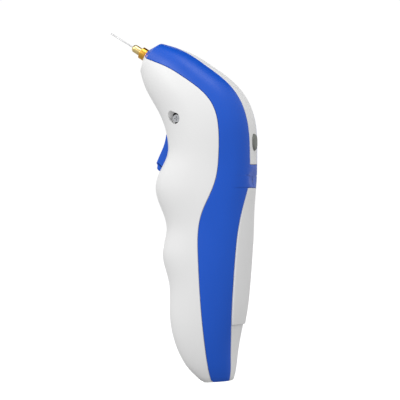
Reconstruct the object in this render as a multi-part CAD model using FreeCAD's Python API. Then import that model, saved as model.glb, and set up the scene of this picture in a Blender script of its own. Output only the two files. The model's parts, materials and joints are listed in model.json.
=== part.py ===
"""Motor-driven needle pipette: a bent pistol handle with one trigger and a brass needle fitting.

Frame: +Z up, the nozzle points towards -X, the left side of the case is -Y, and the case is
symmetric about Y = 0. The origin is the middle of the grip, where the palm holds it.
Lengths are millimetres. Drive pieces are drawn along the nozzle's own axis and then placed.
"""
import FreeCAD, Part
import math
import os
from FreeCAD import Vector

# ---------------------------------------------------------------- driving dimensions

# The case's outline, from the nose down to the foot. Each station is an oval between a point on
# the front line and a point on the rear line, both (X, Z), with its half width in Y.
STATIONS = [
    ((-33.0, 83.5), (-22.0, 98.0), 9.0),
    ((-30.8, 76.6), (-8.2, 93.3), 12.4),
    ((-27.2, 70.0), (3.6, 86.2), 14.8),
    ((-23.0, 63.0), (14.6, 77.8), 16.5),
    ((-20.0, 56.0), (21.5, 68.5), 17.5),
    ((-18.4, 48.5), (25.1, 56.0), 18.0),
    ((-19.2, 41.0), (25.6, 42.5), 18.0),
    ((-23.6, 32.0), (25.5, 32.0), 18.3),
    ((-24.8, 25.0), (25.0, 25.0), 18.5),
    ((-22.4, 17.0), (24.2, 17.0), 18.3),
    ((-19.0, 6.0), (23.6, 6.0), 17.8),
    ((-21.1, -7.0), (22.8, -7.0), 17.8),
    ((-18.0, -20.0), (21.6, -20.0), 17.3),
    ((-17.4, -36.0), (19.6, -36.0), 16.3),
    ((-15.8, -47.5), (17.3, -47.5), 15.0),
    ((-12.2, -57.0), (15.9, -57.0), 13.0),
    ((-7.6, -64.0), (15.2, -64.0), 10.5),
    ((-0.6, -70.5), (14.2, -69.25), 7.0),
]
FRONT_SQUARENESS = 2.2      # superellipse exponents: 2 is a true ellipse
REAR_SQUARENESS = 2.7
OUTLINE_POINTS = 24

WALL = 2.4                  # case wall
TRIM = 1.2                  # depth of the coloured inlays
TRIM_GAP = 0.15             # panel gap round the inlays
CORE = 1.5                  # bosses and ribs stay this far inside the outside face

# The inlay's front edge on the side of the case, (X, Z), from the nose to the foot.
BAND_FRONT = [(-31.0, 91.4), (-24.5, 89.0), (-16.5, 86.0), (-5.8, 80.0), (2.5, 74.2), (7.9, 68.6),
              (10.8, 63.0), (12.5, 54.0), (12.5, 42.0), (11.0, 30.0), (7.7, 21.5), (4.0, 13.5),
              (2.2, 6.0), (2.0, -8.0), (2.8, -28.5), (4.2, -49.0), (5.8, -76.0)]
# Half width of the plain strip down the back, (half width, Z), above and below the tab. The
# inlays meet over the nose in front of its upper end.
SPINE_TOP = [(0.5, 95.8), (2.4, 94.6), (4.0, 92.2), (5.3, 87.5), (6.4, 76.0), (6.7, 62.0),
             (6.1, 48.0), (5.6, 37.5)]
SPINE_LOW = [(6.6, 26.0), (9.5, 16.0), (11.4, 6.0), (12.0, -6.0), (11.8, -22.0), (10.2, -38.0),
             (7.3, -50.0), (4.9, -61.0), (2.6, -72.0)]
TAB_TOP, TAB_LOW = 37.5, 26.0
SCOOP_Z, SCOOP_RADIUS, SCOOP_FLOOR = 30.2, 10.5, 24.55      # thumb scoop across the tab

DOOR_FOOT = -41.5           # lower end of the battery door
DOOR_WALL = 2.0
DOOR_GAP = 0.2
DOOR_PROUD = 0.9            # how far the door's lower end stands off the case

NOSE = Vector(-29.3, 0, 91.35)      # where the nozzle's axis leaves the case
NOZZLE_RISE = 31.3                  # degrees above the horizontal
NOSE_FRONT, NOSE_RADIUS = -1.3, 4.0
NOSE_BASE, NOSE_BASE_RADIUS = 2.6, 8.7

# Along the nozzle's axis, millimetres into the case from NOSE.
NEEDLE_TIP, NEEDLE_RADIUS, NEEDLE_BORE = -24.06, 0.3, 0.17
NEEDLE_ROOT, ROOT_RADIUS = 2.5, 0.22     # the needle is ground to a taper where the hub holds it
HUB_TIP, HUB_BACK, HUB_RADIUS, HUB_TAIL = -10.1, -5.08, 2.0, 1.5
NUT_FRONT, NUT_BACK, NUT_RADIUS = -5.03, -1.25, 3.1
FLANGE_FRONT, FLANGE_BACK, FLANGE_RADIUS, NECK_RADIUS = 1.6, 3.2, 4.5, 3.25
BARREL_FRONT, BARREL_BACK, BARREL_RADIUS, BORE = 5.0, 21.5, 4.3, 2.5
PISTON_FRONT, PISTON_BACK = 8.0, 12.0
CARRIAGE_FRONT, CARRIAGE_BACK = 22.5, 27.5
LUG_FRONT, LUG_BACK = 33.0, 35.0
GEAR_FRONT, GEAR_BACK = 38.0, 41.0
BEARING_FRONT, BEARING_BACK = 41.5, 44.5
SCREW_END = 46.0
RUNNING = 0.05              # radial clearance of running fits

SCREW_RADIUS = 1.5
MODULE, GEAR_TEETH, PINION_TEETH, BACKLASH = 0.5, 24, 12, 0.10
CENTRES = MODULE * (GEAR_TEETH + PINION_TEETH) / 2     # screw to motor shaft
MOTOR_RADIUS, MOTOR_FRONT, MOTOR_CAP, GEARHEAD_FRONT = 4.0, 15.0, 1.6, 25.0
MOTOR_SHAFT, MOTOR_SCREW, MOTOR_SCREW_Y = 0.8, 0.5, 2.6
RAIL_INNER, RAIL_OUTER = 7.2, 8.8
PAD_DEPTHS = (22.0, 39.0)               # front faces of the case's pads beside the chassis
CHASSIS_SCREW_DEPTHS = (24.0, 40.0)     # into the pads of the right half

TRIGGER_PIVOT = (-14.5, 50.8)
TRIGGER_HALF, TRIGGER_GAP = 5.5, 0.35
TRIGGER_HUB = 4.6
TRIGGER_REACH = 18.4        # pivot to the tip's lower edge
PIN_RADIUS = 1.0
PLUNGER_Z = 43.6
SPRING_FRONT, SPRING_Z = -16.2, 36.8

BUTTON_Z, BUTTON_TALL, BUTTON_WIDE, BUTTON_FACE = 48.5, 8.0, 6.0, 26.6

CELL_X, CELL_RADIUS, CELL_LOW, CELL_HIGH = 7.2, 9.2, -39.5, 25.2
TRAY_INNER, TRAY_OUTER = 9.4, 10.6
TRAY_LOW, TRAY_HIGH, TRAY_LIP = -43.0, 27.5, 11.0

BOARD_FRONT, BOARD_BACK = -6.5, -5.3
BOARD_HALF, BOARD_LOW, BOARD_HIGH = 11.5, -38.0, 49.0
BOARD_SCREW_Z = (-30.0, 18.0)

HEAD_SCREW = (-10.7, 60.2)                                 # seen in its recess, (X, Z)
COVERED_SCREWS = ((-2.9, 84.7), (15.0, 58.8), (10.0, -52.0))    # under the left inlay
RECESS_RADIUS, RECESS_DEPTH, COVERED_DEPTH = 2.75, 3.6, 6.2
RELIEF_RADIUS, RELIEF_SLANT = 2.4, Vector(-0.62, -0.70, 0.35)   # leads a driver in from the front
BOSS_RADIUS, SCREW_HEAD, SCREW_SHANK, SCREW_REACH = 2.6, 1.9, 1.0, 6.0

SOCKET_X, SOCKET_HALF_X, SOCKET_HALF_Y, SOCKET_FLOOR = 2.4, 1.6, 4.5, -70.0

FAR = 60.0                  # larger than the case in any direction

# ---------------------------------------------------------------- drawing helpers


def block(x0, x1, y0, y1, z0, z1):
    return Part.makeBox(x1 - x0, y1 - y0, z1 - z0, Vector(x0, y0, z0))


def rod(radius, low, high, x=0.0, y=0.0):
    """A cylinder along Z."""
    return Part.makeCylinder(radius, high - low, Vector(x, y, low))


def cross_rod(radius, y0, y1, x, z):
    """A cylinder along Y."""
    return Part.makeCylinder(radius, y1 - y0, Vector(x, y0, z), Vector(0, 1, 0))


def tube(outer, inner, low, high, x=0.0):
    return rod(outer, low, high, x).cut(rod(inner, low, high, x))


def turned(profile):
    """A solid of revolution about Z from (radius, z) corners."""
    corners = [Vector(r, 0, z) for r, z in profile]
    face = Part.Face(Part.makePolygon(corners + corners[:1]))
    return face.revolve(Vector(0, 0, 0), Vector(0, 0, 1), 360)


def joined(shapes):
    first, *rest = shapes
    return first.fuse(rest).removeSplitter() if rest else first


def smooth(points):
    """A curve through the points."""
    curve = Part.BSplineCurve()
    curve.interpolate(points)
    return curve.toShape()


def into_case(shape):
    """Places a piece drawn along Z (inwards) with X downwards onto the nozzle's axis."""
    turn = FreeCAD.Rotation(Vector(0, 1, 0), 90 + NOZZLE_RISE)
    return shape.transformed(FreeCAD.Placement(NOSE, turn).toMatrix())


def one_side(shape, side):
    """The left (-1) or right (+1) half of a shape."""
    low, high = (-FAR, 0) if side < 0 else (0, FAR)
    return shape.common(block(-FAR, FAR, low, high, -2 * FAR, 2 * FAR))


def mirrored(shape):
    return shape.mirror(Vector(0, 0, 0), Vector(0, 1, 0))


def capsule(tall, wide, x0, x1, z):
    """A rounded bar with upright round ends, its length along X."""
    radius = wide / 2
    reach = tall / 2 - radius
    ends = [Part.makeCylinder(radius, x1 - x0, Vector(x0, 0, z + side * reach), Vector(1, 0, 0))
            for side in (-1, 1)]
    return joined(ends + [block(x0, x1, -radius, radius, z - reach, z + reach)])


def torus(major, minor, z):
    return Part.makeTorus(major, minor, Vector(0, 0, z))


# ---------------------------------------------------------------- the case's outside


def station_wire(front, rear, half, inset):
    """One closed oval through the front and rear points, shrunk by the inset."""
    centre = Vector((front[0] + rear[0]) / 2, 0, (front[1] + rear[1]) / 2)
    along = Vector(rear[0] - front[0], 0, rear[1] - front[1])
    reach = along.Length / 2 - inset
    along.normalize()
    points = []
    for i in range(OUTLINE_POINTS):
        angle = 2 * math.pi * i / OUTLINE_POINTS
        c, s = math.cos(angle), math.sin(angle)
        power = 2 / (REAR_SQUARENESS if c > 0 else FRONT_SQUARENESS)
        x = reach * math.copysign(abs(c) ** power, c)
        y = (half - inset) * math.copysign(abs(s) ** power, s)
        points.append(centre + along * x + Vector(0, y, 0))
    curve = Part.BSplineCurve()
    curve.interpolate(Points=points, PeriodicFlag=True)
    return Part.Wire([curve.toShape()])


def stepped_in(end, inner, step):
    """An end station moved towards its neighbour, so that the end face has a wall too."""
    middle = [(end[0][i] + end[1][i] - inner[0][i] - inner[1][i]) / 2 for i in (0, 1)]
    part = step / math.hypot(*middle)
    front, rear = ([a + part * (b - a) for a, b in zip(end[k], inner[k])] for k in (0, 1))
    return front, rear, end[2] + part * (inner[2] - end[2])


def case_solid(inset=0.0, proud=0.0):
    """The case filled in, shrunk by the inset; proud lifts the rear line towards the door's foot."""
    rows = list(STATIONS)
    if inset:
        rows[0] = stepped_in(STATIONS[0], STATIONS[1], inset)
        rows[-1] = stepped_in(STATIONS[-1], STATIONS[-2], inset)
    wires = []
    for front, rear, half in rows:
        lift = proud * max(0.0, (TAB_LOW - rear[1]) / (TAB_LOW - DOOR_FOOT))
        wires.append(station_wire(front, (rear[0] + lift, rear[1]), half, inset))
    return Part.makeLoft(wires, True, False)


def nose_cap(inset=0.0):
    """The blunt cone between the first station and the nozzle, shrunk by the inset."""
    wires = []
    for s, radius in ((NOSE_BASE, NOSE_BASE_RADIUS), (NOSE_FRONT, NOSE_RADIUS)):
        ring = Part.Circle(Vector(0, 0, s + inset), Vector(0, 0, 1), radius - inset / 2)
        wires.append(Part.Wire([ring.toShape()]))
    return into_case(Part.makeLoft(wires, True, True))


def strip(profile, grow=0.0):
    """The back strip as a prism along X: (half width, Z) pairs mirrored about Y = 0."""
    edge = [Vector(0, half + grow, z) for half, z in profile]
    right = smooth(edge)
    left = smooth([Vector(0, -p.y, p.z) for p in edge])
    top = Part.makeLine(Vector(0, -edge[0].y, edge[0].z), edge[0])
    foot = Part.makeLine(Vector(0, -edge[-1].y, edge[-1].z), edge[-1])
    face = Part.Face(Part.Wire(Part.__sortEdges__([right, left, top, foot])))
    return face.extrude(Vector(-FAR, 0, 0)).fuse(face.extrude(Vector(FAR, 0, 0)))


def behind_band_front(grow=0.0):
    """Everything behind the inlay's front edge, as a prism along Y."""
    edge = [Vector(x - grow, -FAR, z) for x, z in BAND_FRONT]
    far = [Vector(FAR, -FAR, z) for z in (BAND_FRONT[-1][1], BAND_FRONT[0][1] + FAR)]
    up = Vector(edge[0].x, -FAR, far[1].z)
    lines = Part.makePolygon([edge[-1], far[0], far[1], up, edge[0]]).Edges
    face = Part.Face(Part.Wire(Part.__sortEdges__([smooth(edge)] + lines)))
    return face.extrude(Vector(0, 2 * FAR, 0))


def band_region(grow=0.0):
    """Where the inlays lie: behind their front edge, outside the back strip, and over the tab."""
    tab = block(0, FAR, -FAR, FAR, TAB_LOW - grow, TAB_TOP + grow)
    spine = strip(SPINE_TOP, -grow).fuse(strip(SPINE_LOW, -grow)).cut(tab)
    return behind_band_front(grow).cut(spine)


OUTSIDE = case_solid().fuse(nose_cap())
SKIN = OUTSIDE.cut(case_solid(TRIM).fuse(nose_cap(TRIM)))
INSIDE_LIMIT = case_solid(CORE)


def side_of_case(x, z):
    """Half width of the case at (X, Z)."""
    line = Part.makeLine(Vector(x, -FAR, z), Vector(x, 0, z))
    return -OUTSIDE.common(line).BoundBox.YMin


# ---------------------------------------------------------------- case screws


def screw_seats():
    """Each case screw as (x, z, y of the face its head sits on, recess radius)."""
    seats = [HEAD_SCREW + (RECESS_DEPTH - side_of_case(*HEAD_SCREW), RECESS_RADIUS)]
    for x, z in COVERED_SCREWS:
        seats.append((x, z, COVERED_DEPTH - side_of_case(x, z), SCREW_HEAD + 0.2))
    return seats


SEATS = screw_seats()


def driver_relief():
    """The slanted lead-in that lengthens the head screw's recess towards the nose."""
    x, z, seat, _ = SEATS[0]
    start = Vector(x, seat - 0.6, z)
    return Part.makeCylinder(RELIEF_RADIUS, 12.0, start, RELIEF_SLANT)


def case_screws():
    """Pan-head screws with a cross slot, driven in from the left."""
    screws = []
    for x, z, seat, _ in SEATS:
        head = cross_rod(SCREW_HEAD, seat - 1.3, seat, x, z)
        slots = [block(x - a, x + a, seat - 1.4, seat - 0.7, z - b, z + b)
                 for a, b in ((1.2, 0.2), (0.2, 1.2))]
        shank = cross_rod(SCREW_SHANK, seat, SCREW_REACH, x, z)
        screws.append(head.cut(slots[0]).cut(slots[1]).fuse(shank))
    return Part.makeCompound(screws)


# ---------------------------------------------------------------- shells, inlays and door


def trigger_slot():
    """The opening the trigger swings in: a pie about its pivot and a round for its hub."""
    x, z = TRIGGER_PIVOT
    half = TRIGGER_HALF + TRIGGER_GAP
    swing = cross_rod(TRIGGER_REACH + TRIGGER_GAP, -half, half, x, z)
    hub = cross_rod(TRIGGER_HUB + TRIGGER_GAP, -half, half, x, z)
    front = block(-FAR, x, -half, half, -FAR, z)
    return swing.common(front).fuse(hub)


def battery_region(shrink=0.0):
    """The door's opening: the lower back strip between the tab and the door's foot."""
    span = block(0, FAR, -FAR, FAR, DOOR_FOOT + shrink, TAB_LOW - shrink)
    return strip(SPINE_LOW, -shrink).common(span)


def tray_block():
    """The battery tray's outside, filled in."""
    round_part = rod(TRAY_OUTER, TRAY_LOW, TRAY_HIGH, CELL_X)
    flats = block(CELL_X, TRAY_LIP, -TRAY_OUTER, TRAY_OUTER, TRAY_LOW, TRAY_HIGH)
    return round_part.cut(block(CELL_X, FAR, -FAR, FAR, TRAY_LOW, TRAY_HIGH)).fuse(flats)


def nose_openings():
    """The nozzle bushing's seat in the nose."""
    neck = rod(NECK_RADIUS, NUT_BACK - 4.0, BARREL_FRONT + 3.0)
    return [into_case(neck), into_case(rod(FLANGE_RADIUS, FLANGE_FRONT, FLANGE_BACK))]


def wall_half():
    """The left half of the plain case wall, with every opening that both halves share."""
    wall = one_side(OUTSIDE.cut(case_solid(WALL)), -1)
    openings = [
        SKIN.common(band_region(TRIM_GAP)),
        trigger_slot(),
        battery_region(),
        capsule(BUTTON_TALL + 0.5, BUTTON_WIDE + 0.5, 18.0, FAR, BUTTON_Z),
        block(SOCKET_X - SOCKET_HALF_X - 0.1, SOCKET_X + SOCKET_HALF_X + 0.1,
              -SOCKET_HALF_Y - 0.1, SOCKET_HALF_Y + 0.1, -FAR * 2, -66.0),
    ]
    for opening in openings + nose_openings():
        wall = wall.cut(opening)
    return wall


def inner_pads(side):
    """Pads that hold the drive chassis, the battery tray, the button board and the trigger's pin."""
    far = side * FAR
    pads = []
    for s in PAD_DEPTHS:
        pads.append(into_case(block(4.0, 9.0, *sorted((side * RAIL_OUTER, far)), s, s + 4.0)))
    for z in (-36.0, 14.0):
        pad = block(5.0, 10.0, *sorted((side * 4.0, far)), z, z + 4.0)
        pads.append(pad.cut(tray_block()))
    board_pad = block(14.4, 18.6, *sorted((side * 5.5, far)), 43.0, 53.5)
    pads.append(board_pad.cut(button_board()))
    x, z = TRIGGER_PIVOT
    pads.append(cross_rod(2.8, *sorted((side * (TRIGGER_HALF + TRIGGER_GAP), far)), x, z))
    return pads


def shell(side):
    """One half of the case. The screws go in from the left and bite in the right half's bosses."""
    bosses = [cross_rod(BOSS_RADIUS, *sorted((0, side * FAR)), x, z) for x, z, _, _ in SEATS]
    if side < 0:
        x, z, seat, recess = SEATS[0]
        bosses.append(cross_rod(recess + 2.0, -FAR, seat + 1.5, x, z))
    inside = joined(bosses + inner_pads(side)).common(one_side(INSIDE_LIMIT, side))
    wall = wall_half() if side < 0 else mirrored(wall_half())
    body = wall.fuse(inside).cut(trigger_pin())
    body = body.cut(chassis_screws() if side > 0 else driver_relief())
    for x, z, seat, recess in SEATS:
        if side < 0:
            body = body.cut(cross_rod(recess, -FAR, seat, x, z))
            body = body.cut(cross_rod(SCREW_SHANK + 0.1, seat - 1, 0, x, z))
        else:
            body = body.cut(cross_rod(SCREW_SHANK, -1, SCREW_REACH + 0.5, x, z))
    return body.cut(cross_rod(TRIGGER_HUB + TRIGGER_GAP, -TRIGGER_HALF - TRIGGER_GAP,
                              TRIGGER_HALF + TRIGGER_GAP, *TRIGGER_PIVOT))


def trim(side):
    """One coloured inlay, with its half of the tab across the back."""
    scoop = cross_rod(SCOOP_RADIUS, -FAR, FAR, SCOOP_FLOOR + SCOOP_RADIUS, SCOOP_Z)
    whole = SKIN.common(band_region()).cut(scoop)
    for opening in nose_openings():
        whole = whole.cut(opening)
    gap = 0.05
    low, high = (-FAR, -gap) if side < 0 else (gap, FAR)
    return whole.common(block(-FAR, FAR, low, high, -2 * FAR, 2 * FAR))


def battery_door():
    """The rear cover, hooked under the case at its top end, with a proud lip at its foot."""
    sheet = case_solid(0.0, DOOR_PROUD).cut(case_solid(DOOR_WALL))
    door = sheet.common(battery_region(DOOR_GAP))
    hooks = []
    for y in (-4.2, 2.2):
        arm = block(20.2, 22.4, y, y + 2.0, 22.0, 28.0)
        foot = block(20.2, 24.4, y, y + 2.0, 21.0, 24.0)
        hooks.append(arm.fuse(foot))
    limit = case_solid(DOOR_WALL - 1.0)
    for hook in hooks:
        door = door.fuse(hook.common(limit))
    return door


# ---------------------------------------------------------------- nozzle and needle


def nozzle_bushing():
    """Brass fitting clamped in the nose: collet stub, neck, flange, and a tail for the barrel."""
    bore = HUB_TAIL + RUNNING
    body = turned([(bore, -4.4), (2.2, -4.4), (2.2, NUT_BACK), (NECK_RADIUS, NUT_BACK),
                   (NECK_RADIUS, FLANGE_FRONT), (FLANGE_RADIUS, FLANGE_FRONT),
                   (FLANGE_RADIUS, FLANGE_BACK), (NECK_RADIUS, FLANGE_BACK),
                   (NECK_RADIUS, BARREL_FRONT), (2.4, BARREL_FRONT), (2.4, 5.5), (1.8, 5.5),
                   (1.8, 6.2), (2.4, 6.2), (2.4, 7.0), (0.5, 7.0), (0.5, 3.0), (bore, 3.0)])
    for x, y in ((3.0, 0.2), (0.2, 3.0)):
        body = body.cut(block(-x, x, -y, y, -5.0, -1.8))
    return into_case(body)


def barrel_seal():
    return into_case(torus(2.1, 0.3, 5.85))


def collet_nut():
    """The ring that closes the collet on the needle's hub."""
    r, lip = NUT_RADIUS, HUB_TAIL + 0.25
    bore = 2.2 + RUNNING
    return into_case(turned([(lip, NUT_FRONT), (r - 0.35, NUT_FRONT), (r, NUT_FRONT + 0.35),
                             (r, NUT_BACK - 0.25), (r - 0.25, NUT_BACK), (bore, NUT_BACK),
                             (bore, -4.5), (lip, -4.5)]))


def needle_hub():
    """Brass hub with a rounded nose and a plain tail that the collet grips."""
    r = HUB_RADIUS
    nose = [(r * math.cos(a), HUB_TIP + 1.2 * (1 - math.sin(a)))
            for a in (math.radians(t) for t in (0, 20, 40, 60, 75))]
    profile = [(NEEDLE_RADIUS, HUB_TIP)] + nose[::-1]
    profile += [(r, HUB_BACK), (HUB_TAIL, HUB_BACK), (HUB_TAIL, NEEDLE_ROOT),
                (ROOT_RADIUS, NEEDLE_ROOT)]
    return into_case(turned(profile))


def needle():
    return into_case(turned([(NEEDLE_BORE, NEEDLE_TIP), (NEEDLE_RADIUS, NEEDLE_TIP),
                             (NEEDLE_RADIUS, HUB_TIP), (ROOT_RADIUS, NEEDLE_ROOT),
                             (NEEDLE_BORE, NEEDLE_ROOT)]))


# ---------------------------------------------------------------- barrel, piston and carriage


def barrel():
    return into_case(turned([(2.4, BARREL_FRONT), (BARREL_RADIUS, BARREL_FRONT),
                             (BARREL_RADIUS, BARREL_BACK), (BORE, BARREL_BACK), (BORE, 7.8),
                             (0.5, 7.8), (0.5, 7.0), (2.4, 7.0)]))


def piston():
    """The piston head with its seal's groove and a spigot for the rod."""
    r = BORE - RUNNING
    return into_case(turned([(0, PISTON_FRONT), (r, PISTON_FRONT), (r, 9.5), (1.78, 9.5),
                             (1.78, 10.4), (r, 10.4), (r, PISTON_BACK), (1.65, PISTON_BACK),
                             (1.65, 13.2), (0, 13.2)]))


def piston_seal():
    return into_case(torus(2.13, 0.35, 9.95))


def piston_rod():
    """A tube, so that the lead screw runs inside it."""
    return into_case(tube(2.25, 1.65, PISTON_BACK, CARRIAGE_FRONT + 1.0))


def carriage():
    """The travelling nut, kept from turning by the chassis's rails."""
    body = block(-4.0, 4.4, -RAIL_INNER + RUNNING, RAIL_INNER - RUNNING,
                 CARRIAGE_FRONT, CARRIAGE_BACK)
    body = body.cut(rod(SCREW_RADIUS + RUNNING, CARRIAGE_FRONT, CARRIAGE_BACK))
    return into_case(body.cut(rod(2.25, CARRIAGE_FRONT, CARRIAGE_FRONT + 1.0)))


# ---------------------------------------------------------------- lead screw, gears and bearing


def lead_screw():
    """Trapezoidal thread drawn as ridges, then the plain journal, with the clip's groove."""
    pitch, root, first, last = 1.5, 1.15, 22.6, 37.0
    profile = [(0, first)]
    z = first
    while z + pitch <= last:
        profile += [(root, z), (SCREW_RADIUS, z + 0.45), (SCREW_RADIUS, z + 0.9), (root, z + 1.35)]
        z += pitch
    profile += [(root, z), (SCREW_RADIUS, z + 0.4), (SCREW_RADIUS, 44.7), (1.1, 44.7), (1.1, 45.3),
                (SCREW_RADIUS, 45.3), (SCREW_RADIUS, SCREW_END), (0, SCREW_END)]
    return into_case(turned(profile))


def gear(teeth, bore, low, high, turn=0.0):
    """A spur gear with involute flanks, thinned for backlash."""
    pitch = MODULE * teeth / 2
    base = pitch * math.cos(math.radians(20))
    tip, root = pitch + 0.9 * MODULE, pitch - 1.2 * MODULE

    def roll(radius):
        angle = math.acos(min(1.0, base / radius))
        return math.tan(angle) - angle

    half = math.pi / (2 * teeth) - BACKLASH / (2 * pitch) + roll(pitch)
    radii = [root] + [max(root, base) + (tip - max(root, base)) * k / 3 for k in range(4)]
    flank = [(r, half - roll(r)) for r in radii]
    corners = []
    for tooth in range(teeth):
        centre = turn + 2 * math.pi * tooth / teeth
        for r, a in [(r, -a) for r, a in flank] + flank[::-1]:
            corners.append(Vector(r * math.cos(centre + a), r * math.sin(centre + a), low))
    blank = Part.Face(Part.makePolygon(corners + corners[:1])).extrude(Vector(0, 0, high - low))
    return blank.cut(rod(bore, low, high))


def screw_gear():
    return into_case(gear(GEAR_TEETH, SCREW_RADIUS, GEAR_FRONT, GEAR_BACK))


def motor_pinion():
    wheel = gear(PINION_TEETH, MOTOR_SHAFT, GEAR_FRONT, GEAR_BACK, math.pi / PINION_TEETH)
    return into_case(wheel.translated(Vector(CENTRES, 0, 0)))


BALL_CIRCLE, BALL_RADIUS, BALLS = 2.75, 0.6, 7
BALL_PLANE = (BEARING_FRONT + BEARING_BACK) / 2


def bearing_ring(outer, inner):
    groove = torus(BALL_CIRCLE, BALL_RADIUS + RUNNING, BALL_PLANE)
    return into_case(tube(outer, inner, BEARING_FRONT, BEARING_BACK).cut(groove))


def bearing_balls():
    balls = []
    for k in range(BALLS):
        angle = 2 * math.pi * k / BALLS
        centre = Vector(BALL_CIRCLE * math.cos(angle), BALL_CIRCLE * math.sin(angle), BALL_PLANE)
        balls.append(Part.makeSphere(BALL_RADIUS, centre))
    return into_case(Part.makeCompound(balls))


def screw_clip():
    """The retaining ring behind the bearing, open at one side."""
    ring = tube(2.3, 1.1, 44.7, 45.3)
    return into_case(ring.cut(block(0, 3, -0.8, 0.8, 44, 46)))


# ---------------------------------------------------------------- chassis and motor


def drive_chassis():
    """Two bulkheads and a motor lug between side rails, with the carriage's guide faces."""
    foot = 13.4
    plates = []
    for top, s0, s1 in ((6.4, 19.0, BARREL_BACK), (5.9, BEARING_FRONT, BEARING_BACK)):
        plates.append(rod(top, s0, s1))
        plates.append(block(0, foot, -RAIL_OUTER, RAIL_OUTER, s0, s1))
    plates.append(block(5.0, foot, -RAIL_OUTER, RAIL_OUTER, LUG_FRONT, LUG_BACK))
    for side in (-1, 1):
        ys = sorted((side * RAIL_INNER, side * RAIL_OUTER))
        plates.append(block(1.0, foot, *ys, 19.0, BEARING_BACK))
    frame = joined(plates)
    holes = [rod(BARREL_RADIUS, 19.0, BARREL_BACK), rod(4.0, BEARING_FRONT, BEARING_BACK),
             rod(MOTOR_RADIUS, 19.0, BARREL_BACK, CENTRES), rod(1.2, LUG_FRONT, LUG_BACK, CENTRES)]
    holes += [rod(MOTOR_SCREW, LUG_FRONT, LUG_BACK, CENTRES, y) for y in (-MOTOR_SCREW_Y, MOTOR_SCREW_Y)]
    for s in CHASSIS_SCREW_DEPTHS:
        holes.append(cross_rod(0.8, RAIL_INNER, RAIL_OUTER, 6.5, s))
    for hole in holes:
        frame = frame.cut(hole)
    return into_case(frame)


def chassis_screws():
    """Screws through the right rail into the case's pads."""
    screws = [cross_rod(0.8, RAIL_INNER, RAIL_OUTER + 3.0, 6.5, s).fuse(
        cross_rod(1.4, RAIL_INNER - 0.7, RAIL_INNER, 6.5, s)) for s in CHASSIS_SCREW_DEPTHS]
    return into_case(Part.makeCompound(screws))


def motor_can():
    return into_case(rod(MOTOR_RADIUS, MOTOR_FRONT + MOTOR_CAP, GEARHEAD_FRONT, CENTRES))


def motor_cap():
    """Plastic end cap, slightly smaller than the can."""
    return into_case(rod(MOTOR_RADIUS - 0.2, MOTOR_FRONT, MOTOR_FRONT + MOTOR_CAP, CENTRES))


def motor_tags():
    """Two solder tags on the motor's end cap."""
    tags = [block(CENTRES - 0.2, CENTRES + 0.2, y - 0.8, y + 0.8, MOTOR_FRONT - 1.4, MOTOR_FRONT)
            for y in (-2.0, 2.0)]
    return into_case(Part.makeCompound(tags))


def gearhead():
    body = rod(MOTOR_RADIUS, GEARHEAD_FRONT, LUG_FRONT, CENTRES)
    body = body.cut(rod(MOTOR_SHAFT + RUNNING, LUG_FRONT - 4, LUG_FRONT, CENTRES))
    for y in (-MOTOR_SCREW_Y, MOTOR_SCREW_Y):
        body = body.cut(rod(MOTOR_SCREW, LUG_FRONT - 2.5, LUG_FRONT, CENTRES, y))
    return into_case(body)


def gearhead_screws():
    screws = []
    for y in (-MOTOR_SCREW_Y, MOTOR_SCREW_Y):
        shank = rod(MOTOR_SCREW, LUG_FRONT - 2.4, LUG_BACK, CENTRES, y)
        screws.append(shank.fuse(rod(0.9, LUG_BACK, LUG_BACK + 0.6, CENTRES, y)))
    return into_case(Part.makeCompound(screws))


def motor_shaft():
    return into_case(rod(MOTOR_SHAFT, LUG_FRONT - 3.9, GEAR_BACK, CENTRES))


# ---------------------------------------------------------------- trigger and its switch


def trigger():
    """A hollow-faced blade with a lip, hung from its pivot; its foot is an arc about that pivot."""
    px, pz = TRIGGER_PIVOT
    half = TRIGGER_HALF

    def at(x, z):
        return Vector(x, -half, z)

    def on_foot(x):
        return at(x, pz - math.sqrt(TRIGGER_REACH ** 2 - (x - px) ** 2))

    brow, lip = at(px - TRIGGER_HUB, pz + 0.4), at(-24.2, 38.3)
    toe, heel = on_foot(-22.6), on_foot(-16.5)
    face = smooth([brow, at(-20.4, 46.8), at(-22.3, 42.6), lip])
    lobe = smooth([lip, at(-23.6, 37.2), at(-23.8, 35.9), toe])
    foot = Part.Arc(toe, on_foot(-19.5), heel).toShape()
    back = Part.makePolygon([heel, at(-14.6, 39.0), at(-12.55, 41.8), at(-12.55, 45.6),
                             at(px, pz), brow])
    outline = Part.Wire(Part.__sortEdges__([face, lobe, foot] + back.Edges))
    blade = Part.Face(outline).extrude(Vector(0, 2 * half, 0))
    body = joined([blade, cross_rod(TRIGGER_HUB, -half, half, px, pz)])
    pocket = Part.makeCylinder(2.9, 4.0, Vector(SPRING_FRONT - 0.4, 0, SPRING_Z), Vector(1, 0, 0))
    return body.cut(cross_rod(PIN_RADIUS + RUNNING, -half, half, px, pz)).cut(pocket)


def trigger_pin():
    x, z = TRIGGER_PIVOT
    return cross_rod(PIN_RADIUS, -9.0, 9.0, x, z)


def trigger_spring():
    """Return spring between the trigger's pocket and the main board, its axis along X."""
    wire, radius, pitch = 0.3, 2.3, 1.7
    length = BOARD_FRONT - wire - SPRING_FRONT
    helix = Part.makeHelix(pitch, length - wire, radius)
    profile = Part.Wire([Part.Circle(Vector(radius, 0, 0), Vector(0, 1, 0), wire).toShape()])
    coil = Part.Wire(helix).makePipeShell([profile], True, True)
    turn = FreeCAD.Rotation(Vector(0, 1, 0), 90)
    seat = Vector(SPRING_FRONT + wire, 0, SPRING_Z)
    return coil.transformed(FreeCAD.Placement(seat, turn).toMatrix())


def trigger_switch():
    body = block(-10.4, BOARD_FRONT, -6.4, 6.4, PLUNGER_Z - 2.9, PLUNGER_Z + 2.9)
    return body.cut(Part.makeCylinder(0.85, 3.6, Vector(-10.5, 0, PLUNGER_Z), Vector(1, 0, 0)))


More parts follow.
